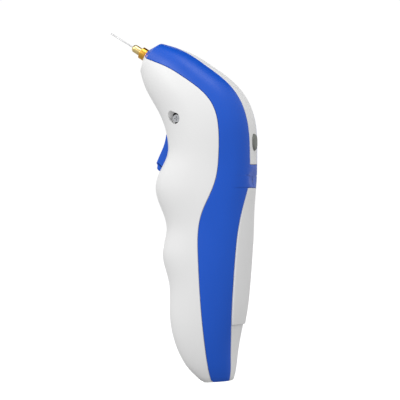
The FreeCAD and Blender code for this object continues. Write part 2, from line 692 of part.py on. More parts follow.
def switch_plunger():
    """A round-nosed stem that stays in the switch through its travel."""
    front, flat = -11.9, -12.4
    stem = Part.makeCylinder(0.8, 3.0, Vector(front, 0, PLUNGER_Z), Vector(1, 0, 0))
    dome = Part.makeSphere(0.8, Vector(front, 0, PLUNGER_Z))
    return stem.fuse(dome.common(block(flat, front, -1, 1, PLUNGER_Z - 1, PLUNGER_Z + 1)))


# ---------------------------------------------------------------- mode button


def mode_button():
    """Oval push button with a retaining flange behind the case."""
    cap = capsule(BUTTON_TALL, BUTTON_WIDE, 21.6, BUTTON_FACE, BUTTON_Z)
    flange = capsule(BUTTON_TALL + 1.8, BUTTON_WIDE + 1.8, 21.6, 22.6, BUTTON_Z)
    return joined([cap, flange])


def button_board():
    return block(16.0, 17.0, -7.0, 7.0, BUTTON_Z - 6.5, BUTTON_Z + 6.5)


def tact_switch():
    body = block(17.0, 20.4, -3.0, 3.0, BUTTON_Z - 3.0, BUTTON_Z + 3.0)
    return body.cut(Part.makeCylinder(1.6, 2.4, Vector(18.2, 0, BUTTON_Z), Vector(1, 0, 0)))


def tact_plunger():
    return Part.makeCylinder(1.5, 2.2, Vector(19.4, 0, BUTTON_Z), Vector(1, 0, 0))


# ---------------------------------------------------------------- battery and boards


def battery_tray():
    """A cradle open to the rear, with end walls for the contacts and posts for the main board."""
    inner = rod(TRAY_INNER, TRAY_LOW + 1.2, TRAY_HIGH - 1.2, CELL_X)
    mouth = block(CELL_X, FAR, -TRAY_INNER, TRAY_INNER, TRAY_LOW + 1.2, TRAY_HIGH - 1.2)
    tray = tray_block().cut(inner).cut(mouth)
    for z in BOARD_SCREW_Z:
        post = Part.makeCylinder(2.2, 4.0, Vector(BOARD_BACK, 0, z), Vector(1, 0, 0))
        tray = tray.fuse(post.cut(rod(TRAY_INNER, TRAY_LOW, TRAY_HIGH, CELL_X)))
    for z in BOARD_SCREW_Z:
        tray = tray.cut(Part.makeCylinder(0.8, 3.3, Vector(BOARD_BACK, 0, z), Vector(1, 0, 0)))
    return tray.removeSplitter()


def battery_cell():
    can = rod(CELL_RADIUS, CELL_LOW, CELL_HIGH - 0.9, CELL_X)
    return can.fuse(rod(4.0, CELL_HIGH - 0.9, CELL_HIGH, CELL_X))


def contact_spring():
    """Cone spring under the cell on its base plate, drawn as a solid cone."""
    low = TRAY_LOW + 1.2
    plate = block(CELL_X - 4.0, CELL_X + 3.0, -5.0, 5.0, low, low + 0.3)
    cone = Part.makeCone(4.0, 2.4, CELL_LOW - low - 0.3, Vector(CELL_X, 0, low + 0.3))
    return joined([plate, cone.translated(Vector(-0.6, 0, 0))])


def contact_plate():
    high = TRAY_HIGH - 1.2
    return block(CELL_X - 4.0, CELL_X + 3.0, -4.0, 4.0, CELL_HIGH, high)


def main_board():
    board = block(BOARD_FRONT, BOARD_BACK, -BOARD_HALF, BOARD_HALF, BOARD_LOW, BOARD_HIGH)
    for z in BOARD_SCREW_Z:
        hole = Part.makeCylinder(0.9, 3.0, Vector(BOARD_FRONT - 1, 0, z), Vector(1, 0, 0))
        board = board.cut(hole)
    return board


def board_screws():
    screws = []
    for z in BOARD_SCREW_Z:
        head = Part.makeCylinder(1.5, 0.9, Vector(BOARD_FRONT - 0.9, 0, z), Vector(1, 0, 0))
        shank = Part.makeCylinder(0.8, 4.4, Vector(BOARD_FRONT, 0, z), Vector(1, 0, 0))
        screws.append(head.fuse(shank))
    return Part.makeCompound(screws)


def on_board(tall, wide, deep, y, z):
    """A block soldered to the front of the main board."""
    return block(BOARD_FRONT - deep, BOARD_FRONT, y - wide / 2, y + wide / 2,
                 z - tall / 2, z + tall / 2)


def board_capacitors():
    cans = [Part.makeCylinder(2.0, 5.0, Vector(BOARD_FRONT - 5.0, y, -20.0), Vector(1, 0, 0))
            for y in (-6.0, 0.0, 6.0)]
    return Part.makeCompound(cans)


def charge_socket():
    """Oval charging socket, its mouth in the foot of the case."""
    x0, x1 = SOCKET_X - SOCKET_HALF_X, SOCKET_X + SOCKET_HALF_X
    y = SOCKET_HALF_Y
    shell_box = block(x0, x1, -y, y, SOCKET_FLOOR, SOCKET_FLOOR + 7.5)
    mouth = block(x0 + 0.35, x1 - 0.35, -y + 0.35, y - 0.35, SOCKET_FLOOR, SOCKET_FLOOR + 6.0)
    tongue = block(SOCKET_X - 0.35, SOCKET_X + 0.35, -3.3, 3.3, SOCKET_FLOOR + 1.0,
                   SOCKET_FLOOR + 6.5)
    return joined([shell_box.cut(mouth), tongue])


def charge_board():
    x1 = SOCKET_X + SOCKET_HALF_X
    return block(x1, x1 + 1.0, -5.0, 5.0, SOCKET_FLOOR + 3.0, SOCKET_FLOOR + 17.0)


# ---------------------------------------------------------------- the parts

PARTS = {
    "shell_left": shell(-1),
    "shell_right": shell(1),
    "trim_left": trim(-1),
    "trim_right": trim(1),
    "battery_door": battery_door(),
    "case_screws": case_screws(),
    "nozzle_bushing": nozzle_bushing(),
    "barrel_seal": barrel_seal(),
    "collet_nut": collet_nut(),
    "needle_hub": needle_hub(),
    "needle": needle(),
    "barrel": barrel(),
    "piston": piston(),
    "piston_seal": piston_seal(),
    "piston_rod": piston_rod(),
    "carriage_nut": carriage(),
    "lead_screw": lead_screw(),
    "screw_gear": screw_gear(),
    "bearing_outer_ring": bearing_ring(4.0, 3.2),
    "bearing_inner_ring": bearing_ring(2.3, SCREW_RADIUS),
    "bearing_balls": bearing_balls(),
    "screw_clip": screw_clip(),
    "drive_chassis": drive_chassis(),
    "chassis_screws": chassis_screws(),
    "motor_can": motor_can(),
    "motor_cap": motor_cap(),
    "motor_tags": motor_tags(),
    "gearhead": gearhead(),
    "gearhead_screws": gearhead_screws(),
    "motor_shaft": motor_shaft(),
    "motor_pinion": motor_pinion(),
    "trigger": trigger(),
    "trigger_pin": trigger_pin(),
    "trigger_spring": trigger_spring(),
    "trigger_switch": trigger_switch(),
    "switch_plunger": switch_plunger(),
    "mode_button": mode_button(),
    "button_board": button_board(),
    "tact_switch": tact_switch(),
    "tact_plunger": tact_plunger(),
    "battery_cell": battery_cell(),
    "battery_tray": battery_tray(),
    "contact_spring": contact_spring(),
    "contact_plate": contact_plate(),
    "main_board": main_board(),
    "board_screws": board_screws(),
    "controller_chip": on_board(7.0, 7.0, 1.0, 0.0, 4.0),
    "motor_driver": on_board(4.0, 4.0, 0.9, 5.0, 24.0),
    "board_capacitors": board_capacitors(),
    "motor_connector": on_board(4.0, 6.0, 3.4, -7.0, 30.0),
    "charge_socket": charge_socket(),
    "charge_board": charge_board(),
}

os.makedirs("parts", exist_ok=True)
for name, shape in PARTS.items():
    print(f"{name:20s} solids {len(shape.Solids)} valid {shape.isValid()} "
          f"volume {shape.Volume:9.2f} mm3")
    shape.exportStep(f"parts/{name}.step")
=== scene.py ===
"""The looks of the motor-driven needle pipette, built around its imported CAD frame.

Case pieces are drawn on one grid of rings down the handle, in millimetres in the CAD's own frame,
and written in metres. Each piece keeps the grid's cells that belong to it, and its edges roll over.
"""
import json
import math

import bmesh
import bpy
import numpy as np
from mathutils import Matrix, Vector


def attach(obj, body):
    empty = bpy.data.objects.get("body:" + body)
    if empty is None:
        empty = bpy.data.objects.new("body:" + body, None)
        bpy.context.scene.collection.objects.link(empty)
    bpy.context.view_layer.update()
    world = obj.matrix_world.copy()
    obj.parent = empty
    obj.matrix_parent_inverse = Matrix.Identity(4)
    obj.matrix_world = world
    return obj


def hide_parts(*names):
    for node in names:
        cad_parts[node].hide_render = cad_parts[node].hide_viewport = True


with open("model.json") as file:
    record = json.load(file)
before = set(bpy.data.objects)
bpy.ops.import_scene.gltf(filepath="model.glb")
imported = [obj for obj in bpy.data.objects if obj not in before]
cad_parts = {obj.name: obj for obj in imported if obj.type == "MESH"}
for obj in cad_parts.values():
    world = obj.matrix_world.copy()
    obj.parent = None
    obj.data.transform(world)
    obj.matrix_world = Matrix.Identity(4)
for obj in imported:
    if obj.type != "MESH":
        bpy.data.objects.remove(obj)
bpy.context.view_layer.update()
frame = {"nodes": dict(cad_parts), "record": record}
MM = 0.001

# ---------------------------------------------------------------- the case's shape, in millimetres

# Ovals from the nose to the foot: a front point and a rear point, (X, Z), and a half width.
STATIONS = [
    ((-33.0, 83.5), (-22.0, 98.0), 9.0),
    ((-30.8, 76.6), (-8.2, 93.3), 12.4),
    ((-27.2, 70.0), (3.6, 86.2), 14.8),
    ((-23.0, 63.0), (14.6, 77.8), 16.5),
    ((-20.0, 56.0), (21.5, 68.5), 17.5),
    ((-18.4, 48.5), (25.1, 56.0), 18.0),
    ((-19.2, 41.0), (25.6, 42.5), 18.0),
    ((-23.6, 32.0), (25.5, 32.0), 18.3),
    ((-24.8, 25.0), (25.0, 25.0), 18.5),
    ((-22.4, 17.0), (24.2, 17.0), 18.3),
    ((-19.0, 6.0), (23.6, 6.0), 17.8),
    ((-21.1, -7.0), (22.8, -7.0), 17.8),
    ((-18.0, -20.0), (21.6, -20.0), 17.3),
    ((-17.4, -36.0), (19.6, -36.0), 16.3),
    ((-15.8, -47.5), (17.3, -47.5), 15.0),
    ((-12.2, -57.0), (15.9, -57.0), 13.0),
    ((-7.6, -64.0), (15.2, -64.0), 10.5),
    ((-0.6, -70.5), (14.2, -69.25), 7.0),
]
FRONT_SQUARENESS, REAR_SQUARENESS = 2.2, 2.7
BAND_FRONT = [(-31.0, 91.4), (-24.5, 89.0), (-16.5, 86.0), (-5.8, 80.0), (2.5, 74.2), (7.9, 68.6),
              (10.8, 63.0), (12.5, 54.0), (12.5, 42.0), (11.0, 30.0), (7.7, 21.5), (4.0, 13.5),
              (2.2, 6.0), (2.0, -8.0), (2.8, -28.5), (4.2, -49.0), (5.8, -76.0)]
SPINE_TOP = [(0.5, 95.8), (2.4, 94.6), (4.0, 92.2), (5.3, 87.5), (6.4, 76.0), (6.7, 62.0),
             (6.1, 48.0), (5.6, 37.5)]
SPINE_LOW = [(6.6, 26.0), (9.5, 16.0), (11.4, 6.0), (12.0, -6.0), (11.8, -22.0), (10.2, -38.0),
             (7.3, -50.0), (4.9, -61.0), (2.6, -72.0)]
TAB_TOP, TAB_LOW, DOOR_FOOT = 37.5, 26.0, -41.5
WALL, TRIM, DOOR_WALL, DOOR_PROUD = 2.4, 1.2, 2.0, 0.9
NOSE = np.array([-29.3, 0.0, 91.35])
RISE = math.radians(31.3)
INWARD = np.array([math.cos(RISE), 0.0, -math.sin(RISE)])
ABOVE = np.array([math.sin(RISE), 0.0, math.cos(RISE)])
NOSE_FRONT, NOSE_RADIUS, NECK_RADIUS = -1.3, 4.0, 3.25
SLOT_HALF, SLOT_TOP, SLOT_LOW = 5.85, 51.6, 32.9
FOOT_ROUND = 0.8
BAND_AT_FOOT = 5.4          # X where the inlays' front edges meet the foot
ROLL = 0.35                 # radius of the rolled panel edges
CHANNEL = 0.17              # from the edge of an inlay's channel to the inlay
SCOOP_Z, SCOOP_RADIUS, SCOOP_FLOOR = 30.2, 10.5, 24.55
SEAM_ROUND = 0.12           # radius of the edges along the case's seam
SHARP = math.radians(38)    # faces that meet at a wider turn keep a crisp edge

BUTTON_Z, BUTTON_TALL, BUTTON_WIDE, BUTTON_GAP = 48.5, 8.0, 6.0, 0.25
RECESS_X, RECESS_Z, RECESS_RADIUS, HEAD_SEAT = -10.7, 60.2, 2.75, -11.64
RELIEF_TURNS = (0.5, 0.75, 1.0)     # the driver's lead-in, from square to its full slant

# Grid lines beside a panel edge, millimetres from it, positive on the inlay's side.
BESIDE = np.array([-1.1, -0.5, -0.24, -0.1, -0.03, 0.0, 0.02, CHANNEL, 0.2, 0.27, 0.41, 0.67, 1.3])
FROM_SEAM = np.array([0.0, 0.03, 0.1, 0.24, 0.6])


def cubic(knots, values):
    """The natural cubic spline through values at the knots, as a function."""
    t, y = np.asarray(knots, float), np.asarray(values, float)
    h = np.diff(t)
    n = len(t)
    system, right = np.eye(n), np.zeros((n,) + y.shape[1:])
    for i in range(1, n - 1):
        system[i, i - 1:i + 2] = h[i - 1], 2 * (h[i - 1] + h[i]), h[i]
        right[i] = 6 * ((y[i + 1] - y[i]) / h[i] - (y[i] - y[i - 1]) / h[i - 1])
    bend = np.linalg.solve(system, right)

    def at(x):
        x = np.asarray(x, float)
        k = np.clip(np.searchsorted(t, x) - 1, 0, n - 2)
        lead = (slice(None),) * x.ndim + (None,) * (y.ndim - 1)
        a, b, w = (t[k + 1] - x)[lead], (x - t[k])[lead], h[k][lead]
        return (bend[k] * a ** 3 + bend[k + 1] * b ** 3) / (6 * w) \
            + (y[k] / w - bend[k] * w / 6) * a + (y[k + 1] / w - bend[k + 1] * w / 6) * b
    return at


def chords(points):
    points = np.asarray(points, float)
    return np.concatenate([[0.0], np.cumsum(np.linalg.norm(np.diff(points, axis=0), axis=1))])


def curve(points, count=600):
    """Dense points on the spline through the given ones."""
    knots = chords(points)
    return cubic(knots, points)(np.linspace(0, knots[-1], count))


FRONTS = np.array([s[0] for s in STATIONS])
REARS = np.array([s[1] for s in STATIONS])
KNOTS = (chords(FRONTS) + chords(REARS)) / 2
front_at, rear_at = cubic(KNOTS, FRONTS), cubic(KNOTS, REARS)
half_at = cubic(KNOTS, np.array([s[2] for s in STATIONS]))
FINE_T = np.linspace(0, KNOTS[-1], 4000)
REAR_LENGTH = chords(rear_at(FINE_T))
BAND_LINE = curve(BAND_FRONT)
SPINE_TOP_LINE, SPINE_LOW_LINE = curve(SPINE_TOP), curve(SPINE_LOW)


def t_where(line, level):
    """The station parameter where the front or rear line first falls to a level."""
    return FINE_T[np.nonzero(line(FINE_T)[:, 1] <= level)[0][0]]


def rear_length(t):
    return np.interp(t, FINE_T, REAR_LENGTH)


L_NOSE = rear_length(t_where(rear_at, SPINE_TOP[0][1]))
L_TAB_TOP, L_TAB_LOW, L_DOOR = (rear_length(t_where(rear_at, z))
                                for z in (TAB_TOP, TAB_LOW, DOOR_FOOT))
L_SLOT_TOP, L_SLOT_LOW = (rear_length(t_where(front_at, z)) for z in (SLOT_TOP, SLOT_LOW))
L_END = REAR_LENGTH[-1]

# ---------------------------------------------------------------- rings


def oval(p):
    """Unit oval coordinates, front to rear and centre to left side, at the angles p."""
    c, s = np.cos(p), np.sin(p)
    power = np.where(c > 0, 2 / REAR_SQUARENESS, 2 / FRONT_SQUARENESS)
    return np.sign(c) * np.abs(c) ** power, np.abs(s) ** power


class Ring:
    """One oval of the handle; at() gives points at the angles p, a depth under the surface."""

    def __init__(self, t, inset=0.0, sink=0.0, tilt=0.0):
        front, rear = front_at(t), rear_at(t)
        self.centre = np.array([(front[0] + rear[0]) / 2, 0, (front[1] + rear[1]) / 2])
        self.along = np.array([rear[0] - front[0], 0, rear[1] - front[1]])
        self.reach = np.linalg.norm(self.along) / 2
        self.along /= 2 * self.reach
        self.half = float(half_at(t))
        self.down = np.array([self.along[2], 0, -self.along[0]])
        self.inset, self.sink, self.tilt = inset, sink, tilt

    def at(self, p, depth):
        x, y = oval(p)
        shrink = self.inset + depth * math.cos(self.tilt)
        axial = self.sink + depth * math.sin(self.tilt)
        return (self.centre + np.outer((self.reach - shrink) * x, self.along)
                - np.outer((self.half - shrink) * y, [0, 1, 0])
                - np.outer(axial * np.ones_like(x), self.down))


class NoseRing:
    """A ring of the nose's cone, part of the way from the first oval to the nozzle's round."""

    def __init__(self, share, radius=NOSE_RADIUS, aside=0.6):
        self.share, self.radius, self.aside = share, radius, aside
        self.rim = Ring(0.0)

    def at(self, p, depth):
        wide = self.radius - depth * self.aside
        round_ = (NOSE + INWARD * NOSE_FRONT + np.outer(wide * np.cos(p), ABOVE)
                  - np.outer(wide * np.sin(p), [0, 1, 0]))
        inward = np.outer(depth * math.sqrt(1 - self.aside ** 2) * np.ones_like(p), INWARD)
        rim = self.rim.at(p, depth * self.aside)
        return (1 - self.share) * rim + self.share * round_ + inward


class FootRing:
    """A ring of the flat foot, drawn in towards the point where the inlays' front edges meet."""

    def __init__(self, share):
        self.share = share
        self.rim = Ring(KNOTS[-1], inset=FOOT_ROUND)
        front, rear = front_at(KNOTS[-1]), rear_at(KNOTS[-1])
        part = (BAND_AT_FOOT - front[0]) / (rear[0] - front[0])
        self.meet = np.array([BAND_AT_FOOT, 0, front[1] + part * (rear[1] - front[1])])

    def at(self, p, depth):
        flat = self.meet + (self.rim.at(p, depth * 0) - self.meet) * self.share
        return flat - np.outer(depth * np.ones_like(p), self.rim.down)


def row_lengths():
    """Where the rings lie, as lengths down the rear line, with close lines beside panel edges."""
    edges = [(L_TAB_TOP, 1), (L_TAB_LOW, -1)]
    lines = [edge + side * BESIDE for edge, side in edges]
    lines.append(L_DOOR + np.concatenate([-FROM_SEAM[::-1] - 0.1, FROM_SEAM[1:]]))
    lines.append(L_NOSE + np.linspace(-1.0, 4.0, 21))
    lines.append(L_SLOT_TOP - FROM_SEAM[::-1])
    lines.append(L_SLOT_LOW + FROM_SEAM)
    close = np.sort(np.concatenate(lines))
    even = np.linspace(0, L_END - FOOT_ROUND, 125)
    even = even[np.min(np.abs(even[:, None] - close), axis=1) > 0.55]
    return np.sort(np.concatenate([even, close]))


ROW_LENGTH = row_lengths()
FINE_P = np.linspace(math.pi, 0, 1500)


def crossing(length, beyond):
    """The length along a ring where a signed distance first turns positive."""
    if not np.any(beyond > 0):
        return length[-1]
    k = np.nonzero(beyond > 0)[0][0]
    if k == 0:
        return length[0]
    share = beyond[k - 1] / (beyond[k - 1] - beyond[k])
    return length[k - 1] + share * (length[k] - length[k - 1])


def ring_columns(ring):
    """The angles of a ring's columns, and each column's distance to every panel edge."""
    points = ring.at(FINE_P, np.zeros_like(FINE_P))
    length = chords(points)
    total = length[-1]
    line_x = np.interp(-points[:, 2], -BAND_LINE[:, 1], BAND_LINE[:, 0])
    to_band = crossing(length, points[:, 0] - line_x)
    line = SPINE_LOW_LINE if points[-1, 2] < (TAB_LOW + TAB_TOP) / 2 else SPINE_TOP_LINE
    width = np.interp(-points[:, 2], -line[:, 1], line[:, 0])
    width = np.where(points[:, 2] > line[0, 1], 0.0, width)
    to_spine = crossing(length, np.where(length > total / 2, width + points[:, 1], -1.0))
    to_slot = min(crossing(length, -points[:, 1] - SLOT_HALF), to_band - 3.0)
    columns = np.concatenate([
        FROM_SEAM, np.linspace(0.6, to_slot - 0.3, 5)[1:], to_slot + FROM_SEAM,
        np.linspace(to_slot + 0.6, to_band - 1.1, 18)[1:-1], to_band + BESIDE,
        np.linspace(to_band + 1.3, to_spine - 1.3, 12)[1:-1], to_spine - BESIDE[::-1],
        np.linspace(to_spine + 1.1, total - 0.6, 7)[1:-1], total - FROM_SEAM[::-1]])
    return np.interp(columns, length, FINE_P), {
        "band": columns - to_band, "spine": to_spine - columns, "slot": columns - to_slot,
        "front": columns, "rear": total - columns}


def build_rows():
    """Every row of the grid: nose cone, handle and foot, with the columns' angles and distances."""
    rows, angles, reach = [], [], []
    for length in ROW_LENGTH:
        ring = Ring(np.interp(length, REAR_LENGTH, FINE_T))
        p, distance = ring_columns(ring)
        rows.append(ring)
        angles.append(p)
        reach.append(distance)
    shares = (0.985, 0.96, 0.9, 0.8, 0.7, 0.55, 0.4, 0.25, 0.12, 0.03)
    nose = [NoseRing(share, aside=0.1 + 0.6 * (1 - share)) for share in shares]
    nose.insert(0, NoseRing(1.0, NOSE_RADIUS - 0.1, 0.0))
    nose.insert(0, NoseRing(1.0, NECK_RADIUS + 0.1, 0.0))
    foot = []
    for k in range(1, 6):
        turn = math.radians(90 * k / 5)
        foot.append(Ring(KNOTS[-1], FOOT_ROUND * (1 - math.cos(turn)),
                         FOOT_ROUND * (1 - math.sin(turn)), turn))
    foot += [FootRing(share) for share in (0.9, 0.7, 0.45, 0.2, 0.02)]
    rows = nose + rows + foot
    angles = [angles[0]] * len(nose) + angles + [angles[-1]] * len(foot)
    reach = [reach[0]] * len(nose) + reach + [reach[-1]] * len(foot)
    before = -np.arange(len(nose), 0, -1.0)
    after = L_END + np.arange(len(foot)) * 0.5
    return rows, np.array(angles), np.concatenate([before, ROW_LENGTH, after]), \
        {k: np.array([r[k] for r in reach]) for k in reach[0]}


ROWS, ANGLES, LENGTHS, TO = build_rows()
DOWN = LENGTHS[:, None] + np.zeros_like(ANGLES)


def positions(depth):
    """Grid points at a depth under the surface, in metres."""
    return np.array([row.at(p, d) for row, p, d in zip(ROWS, ANGLES, depth)]) * MM


def rolled(distance, radius=ROLL):
    """How far a surface has dropped at a distance inside its edge."""
    near = np.clip(radius - distance, 0, radius)
    return radius - np.sqrt(radius ** 2 - near ** 2)


# Distance into the channel that holds the inlays.
IN_TAB = np.minimum(DOWN - L_TAB_TOP, L_TAB_LOW - DOWN)
IN_CHANNEL = np.minimum(TO["band"], np.maximum(TO["spine"], IN_TAB))
IN_DOOR = np.minimum(-TO["spine"], np.minimum(DOWN - L_TAB_LOW, L_DOOR - DOWN))
IN_SLOT = np.minimum(-TO["slot"], np.minimum(DOWN - L_SLOT_TOP, L_SLOT_LOW - DOWN))
SEAM = np.minimum(TO["front"], TO["rear"])

# ---------------------------------------------------------------- meshes


def new_object(name, vertices, faces, body, slot, material):
    mesh = bpy.data.meshes.new(name)
    mesh.from_pydata(vertices, [], faces)
    mesh.validate()
    for polygon in mesh.polygons:
        polygon.use_smooth = True
    mesh.set_sharp_from_angle(angle=SHARP)
    mesh.materials.append(material)
    piece = bpy.data.objects.new(name, mesh)
    bpy.context.scene.collection.objects.link(piece)
    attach(piece, body)
    return piece


def sheet(keep, top_depth, low_depth):
    """Vertices and faces of a closed sheet over the cells whose four corners are kept."""
    top, low = positions(top_depth), positions(low_depth)
    cells = keep[:-1, :-1] & keep[1:, :-1] & keep[:-1, 1:] & keep[1:, 1:]
    used = np.zeros_like(keep)
    for i, j in ((0, 0), (1, 0), (0, 1), (1, 1)):
        used[i:i + cells.shape[0], j:j + cells.shape[1]] |= cells
    index = np.full(keep.shape, -1)
    index[used] = np.arange(used.sum())
    count = int(used.sum())
    vertices = np.concatenate([top[used], low[used]])
    faces = []
    rows, columns = cells.shape

    def filled(i, j):
        return 0 <= i < rows and 0 <= j < columns and cells[i, j]

    for i, j in zip(*np.nonzero(cells)):
        a, b = int(index[i, j]), int(index[i + 1, j])
        c, d = int(index[i + 1, j + 1]), int(index[i, j + 1])
        faces.append((a, b, c, d))
        faces.append((a + count, d + count, c + count, b + count))
        for (u, v), open_side in (((a, b), not filled(i, j - 1)), ((b, c), not filled(i + 1, j)),
                                  ((c, d), not filled(i, j + 1)), ((d, a), not filled(i - 1, j))):
            if open_side:
                faces.append((u, u + count, v + count, v))
    return vertices, faces


def mirrored(vertices, faces):
    flip = np.array(vertices) * [1, -1, 1]
    return flip, [tuple(reversed(face)) for face in faces]


def tidy(vertices, faces):
    """Merges points that fall together, drops empty faces and turns every face outwards."""
    mesh = bmesh.new()
    points = [mesh.verts.new(v) for v in vertices]
    for face in faces:
        corners = [points[k] for k in dict.fromkeys(face)]
        if len(corners) > 2 and not mesh.faces.get(corners):
            mesh.faces.new(corners)
    bmesh.ops.remove_doubles(mesh, verts=mesh.verts, dist=1e-7)
    bmesh.ops.recalc_face_normals(mesh, faces=mesh.faces)
    mesh.verts.index_update()
    result = [v.co[:] for v in mesh.verts], [[v.index for v in f.verts] for f in mesh.faces]
    mesh.free()
    return result


def lathe(profile, segments=72):
    """A closed solid of revolution on the nozzle's axis from (radius, depth into the case)."""
    vertices, faces = [], []
    turns = 2 * math.pi * np.arange(segments) / segments
    for radius, s in profile:
        ring = (NOSE + INWARD * s + np.outer(radius * np.cos(turns), ABOVE)
                + np.outer(radius * np.sin(turns), [0, 1, 0]))
        vertices += list(ring * MM)
    count = len(profile)
    for k in range(count):
        for j in range(segments):
            here, there = k * segments, ((k + 1) % count) * segments
            n = (j + 1) % segments
            faces.append((here + j, here + n, there + n, there + j))
    return tidy(vertices, faces)


# ---------------------------------------------------------------- materials


def shader(name, colour, roughness, metallic=0.0):
    material = bpy.data.materials.new(name)
    material.use_nodes = True
    bsdf = material.node_tree.nodes["Principled BSDF"]
    bsdf.inputs["Base Color"].default_value = (*colour, 1)
    bsdf.inputs["Roughness"].default_value = roughness
    bsdf.inputs["Metallic"].default_value = metallic
    return material, material.node_tree, bsdf


def noise(tree, scale, detail=2.0, stretch=(1, 1, 1)):
    """A noise value over the object's own coordinates."""
    place = tree.nodes.new("ShaderNodeTexCoord")
    mapping = tree.nodes.new("ShaderNodeMapping")
    mapping.inputs["Scale"].default_value = stretch
    texture = tree.nodes.new("ShaderNodeTexNoise")
    texture.inputs["Scale"].default_value = scale
    texture.inputs["Detail"].default_value = detail
    tree.links.new(place.outputs["Object"], mapping.inputs["Vector"])
    tree.links.new(mapping.outputs["Vector"], texture.inputs["Vector"])
    return texture.outputs["Fac"]


def ramp(tree, value, low, high):
    """Maps a value onto a range of numbers or colours."""
    node = tree.nodes.new("ShaderNodeValToRGB")
    for element, colour in zip(node.color_ramp.elements, (low, high)):
        element.color = (*colour, 1) if hasattr(colour, "__len__") else (colour, colour, colour, 1)
    node.color_ramp.elements[0].position, node.color_ramp.elements[1].position = 0.3, 0.7
    tree.links.new(value, node.inputs["Fac"])
    return node.outputs["Color"]


def bump(tree, bsdf, value, distance, strength=1.0):
    node = tree.nodes.new("ShaderNodeBump")
    node.inputs["Strength"].default_value = strength
    node.inputs["Distance"].default_value = distance
    tree.links.new(value, node.inputs["Height"])
    tree.links.new(node.outputs["Normal"], bsdf.inputs["Normal"])


def plastic(name, colour, roughness, grain=0.000004, spread=0.04):
    """Moulded plastic: fine spark-eroded grain, with slight flow marks in colour and sheen."""
    material, tree, bsdf = shader(name, colour, roughness)
    bsdf.inputs["Specular IOR Level"].default_value = 0.32
    darker = tuple(c * (1 - spread) for c in colour)
    lighter = tuple(min(1.0, c * (1 + spread)) for c in colour)
    flow = noise(tree, 45.0, 3.0, (1, 1, 0.4))
    tree.links.new(ramp(tree, flow, darker, lighter), bsdf.inputs["Base Color"])
    sheen = noise(tree, 260.0, 4.0)
    tree.links.new(ramp(tree, sheen, roughness * 0.88, roughness * 1.12), bsdf.inputs["Roughness"])
    bump(tree, bsdf, noise(tree, 3200.0, 2.0), grain)
    return material


def turned_metal(name, colour, roughness, spread=0.12):
    """Turned metal: fine tool rings round the nozzle's axis and a slight tarnish."""
    material, tree, bsdf = shader(name, colour, roughness, 1.0)
    place = tree.nodes.new("ShaderNodeTexCoord")
    along = tree.nodes.new("ShaderNodeVectorMath")
    along.operation = "DOT_PRODUCT"
    along.inputs[1].default_value = tuple(INWARD)
    tree.links.new(place.outputs["Object"], along.inputs[0])
    rings = tree.nodes.new("ShaderNodeTexNoise")
    rings.noise_dimensions = "1D"
    rings.inputs["Scale"].default_value = 9000.0
    tree.links.new(along.outputs["Value"], rings.inputs["W"])
    bump(tree, bsdf, rings.outputs["Fac"], 0.000006)
    darker = tuple(c * (1 - spread) for c in colour)
    tree.links.new(ramp(tree, noise(tree, 900.0, 4.0), darker, colour), bsdf.inputs["Base Color"])
    return material


def drawn_metal(name, colour, roughness):
    """Rolled, plated or machined metal with fine scratches."""
    material, tree, bsdf = shader(name, colour, roughness, 1.0)
    scratches = noise(tree, 700.0, 6.0, (1, 6, 1))
    tree.links.new(ramp(tree, scratches, roughness * 0.8, roughness * 1.25),
                   bsdf.inputs["Roughness"])
    bump(tree, bsdf, scratches, 0.000004)
    return material


def make_materials():
    """One material for each slot of the record."""
    return {
        "case_plastic": plastic("white_case", (0.83, 0.83, 0.83), 0.38, spread=0.012),
        "trim_plastic": plastic("blue_trim", (0.006, 0.092, 0.585), 0.36, spread=0.05),
        "button_plastic": plastic("grey_button", (0.20, 0.21, 0.19), 0.45),
        "dark_plastic": plastic("dark_plastic", (0.03, 0.03, 0.034), 0.5),
        "connector_plastic": plastic("natural_nylon", (0.72, 0.68, 0.56), 0.5),
        "cell_sleeve": plastic("cell_sleeve", (0.03, 0.20, 0.24), 0.35),
        "board_green": plastic("board_green", (0.02, 0.16, 0.07), 0.4),
        "chip_black": plastic("chip_black", (0.02, 0.02, 0.02), 0.55),
        "seal_rubber": plastic("seal_rubber", (0.02, 0.02, 0.02), 0.7),
        "brass": turned_metal("brass", (0.86, 0.46, 0.07), 0.24),
        "hub_brass": turned_metal("hub_brass", (0.95, 0.74, 0.33), 0.25, 0.06),
        "needle_steel": drawn_metal("needle_steel", (0.56, 0.56, 0.57), 0.34),
        "screw_steel": drawn_metal("screw_steel", (0.50, 0.51, 0.53), 0.32),
        "spring_steel": drawn_metal("spring_steel", (0.55, 0.55, 0.55), 0.28),
        "frame_aluminium": drawn_metal("frame_aluminium", (0.70, 0.71, 0.72), 0.35),
    }


MATERIALS = make_materials()


def dress_cad_nodes():
    """Gives every CAD node the material of its slot."""
    for part in frame["record"]["subparts"]:
        node = frame["nodes"][part["node"]]
        node.data.materials.clear()
        node.data.materials.append(MATERIALS[part["material_slot"]])


# ---------------------------------------------------------------- case pieces


def add_piece(name, shape, body, slot, *nodes):
    """A piece in place of CAD nodes, from its (vertices, faces)."""
    piece = new_object(name, *shape, body, slot, MATERIALS[slot])
    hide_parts(*nodes)
    return piece


def case_piece(name, side, vertices, faces, body, slot, *nodes):
    """A piece drawn on the left of the case, mirrored where side is 1."""
    if side > 0:
        vertices, faces = mirrored(vertices, faces)
    return add_piece(name, tidy(vertices, faces), body, slot, *nodes)


def shell_sheet():
    """The left half of the white case, with a channel for the inlay and the open door and slot."""
    depth = np.maximum(rolled(-IN_CHANNEL), rolled(SEAM, SEAM_ROUND))
    depth = np.maximum(depth, rolled(-IN_SLOT, 0.3))
    depth = np.where(IN_CHANNEL > 0.01, TRIM + 0.05, depth)
    keep = (IN_DOOR < 0.01) & (IN_SLOT < 0.01)
    return sheet(keep, depth, np.full_like(depth, WALL))


